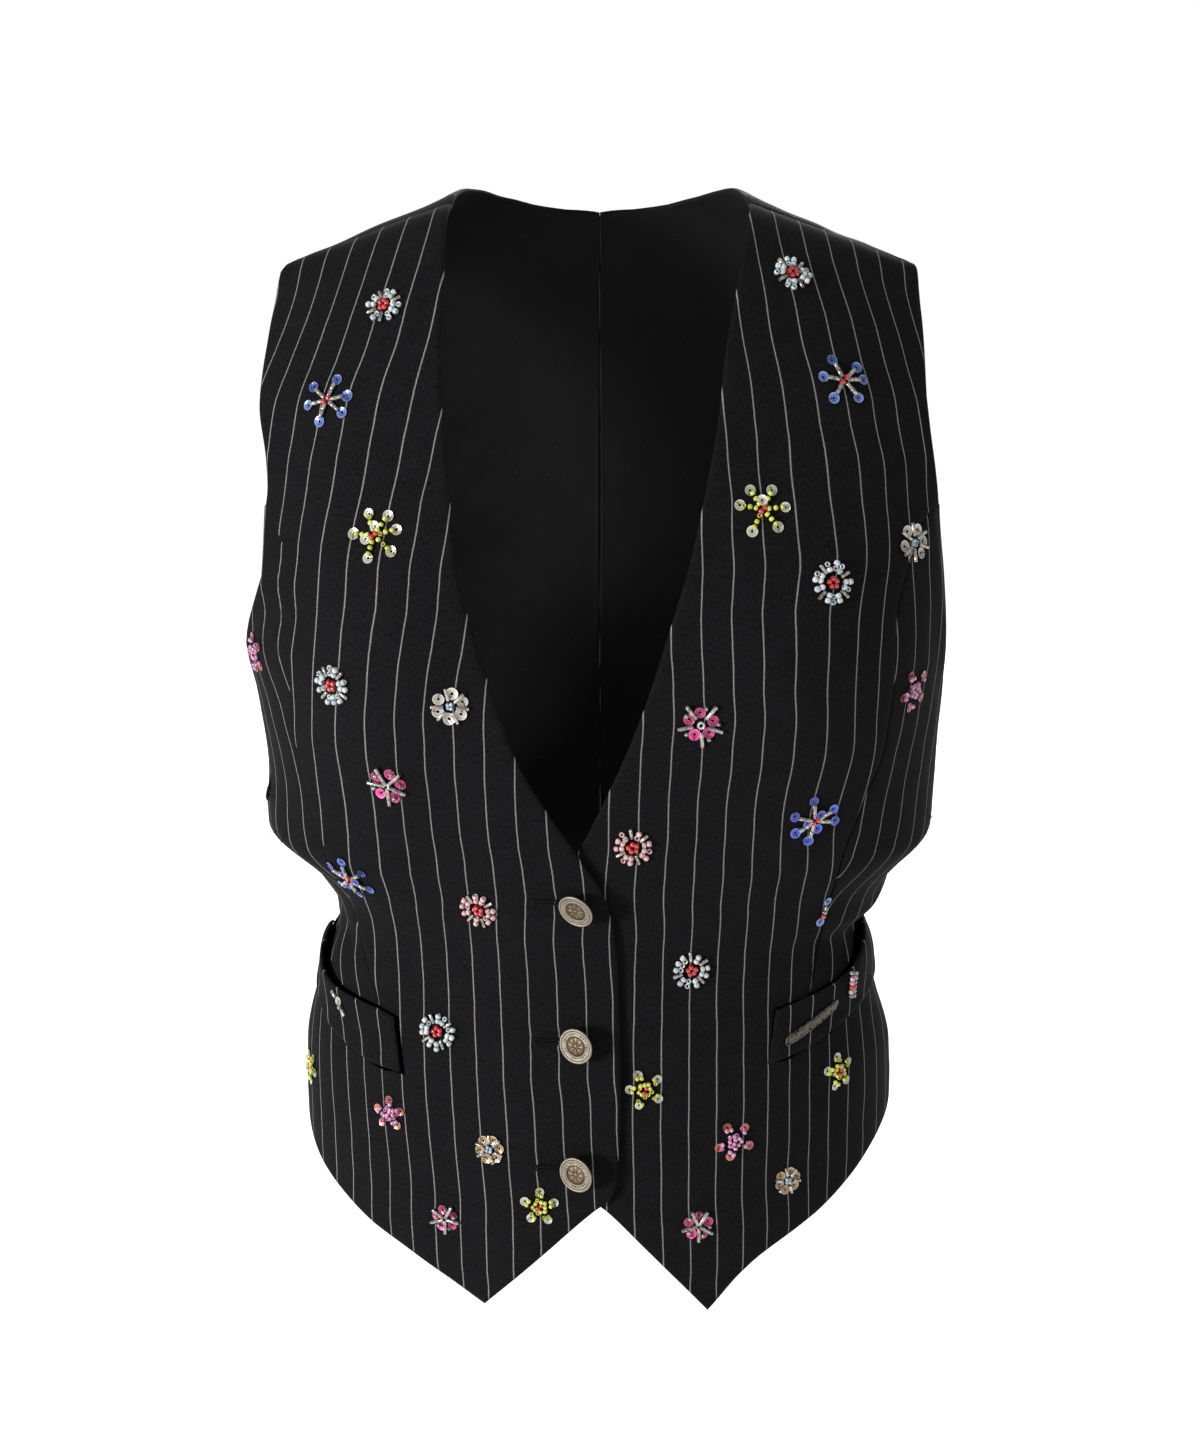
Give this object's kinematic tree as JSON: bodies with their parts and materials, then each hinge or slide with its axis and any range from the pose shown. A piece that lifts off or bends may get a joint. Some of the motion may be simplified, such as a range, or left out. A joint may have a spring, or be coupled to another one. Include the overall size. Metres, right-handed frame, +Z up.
{
  "type": "embroidered pinstripe waistcoat",
  "caption": "Woman's fitted waistcoat in worn form: V neck, lapped fronts with shank buttons, slanted welt pockets, pointed hem and a plain back, hollow and open at neck, arms and hem",
  "frame": {"origin": "midway between the two shoulder seams at their middle height, where the wearer's shoulders hold the waistcoat up", "axes": "+Z up; the fronts face -Y; +X is the wearer's left"},
  "size_m": [0.322, 0.2066, 0.5096],
  "materials": {
    "pinstripe_suiting_right": "matte black suiting with pale pinstripes",
    "pinstripe_suiting_left": "matte black suiting with pale pinstripes",
    "plain_black_cloth_right": "plain black cloth",
    "plain_black_cloth_left": "plain black cloth",
    "welt_suiting_right": "matte black suiting with pale pinstripes",
    "welt_suiting_left": "matte black suiting with pale pinstripes",
    "pewter": "dull pewter",
    "button_metal_1": "satin champagne metal",
    "button_metal_2": "satin champagne metal",
    "button_metal_3": "satin champagne metal"
  },
  "bodies": {
    "root": {"front_right": "pinstripe_suiting_right", "front_left": "pinstripe_suiting_left", "back_right": "plain_black_cloth_right", "back_left": "plain_black_cloth_left", "welt_right": "welt_suiting_right", "welt_left": "welt_suiting_left", "label_plate": "pewter", "button_1": "button_metal_1", "button_2": "button_metal_2", "button_3": "button_metal_3"}
  },
  "joints": []
}
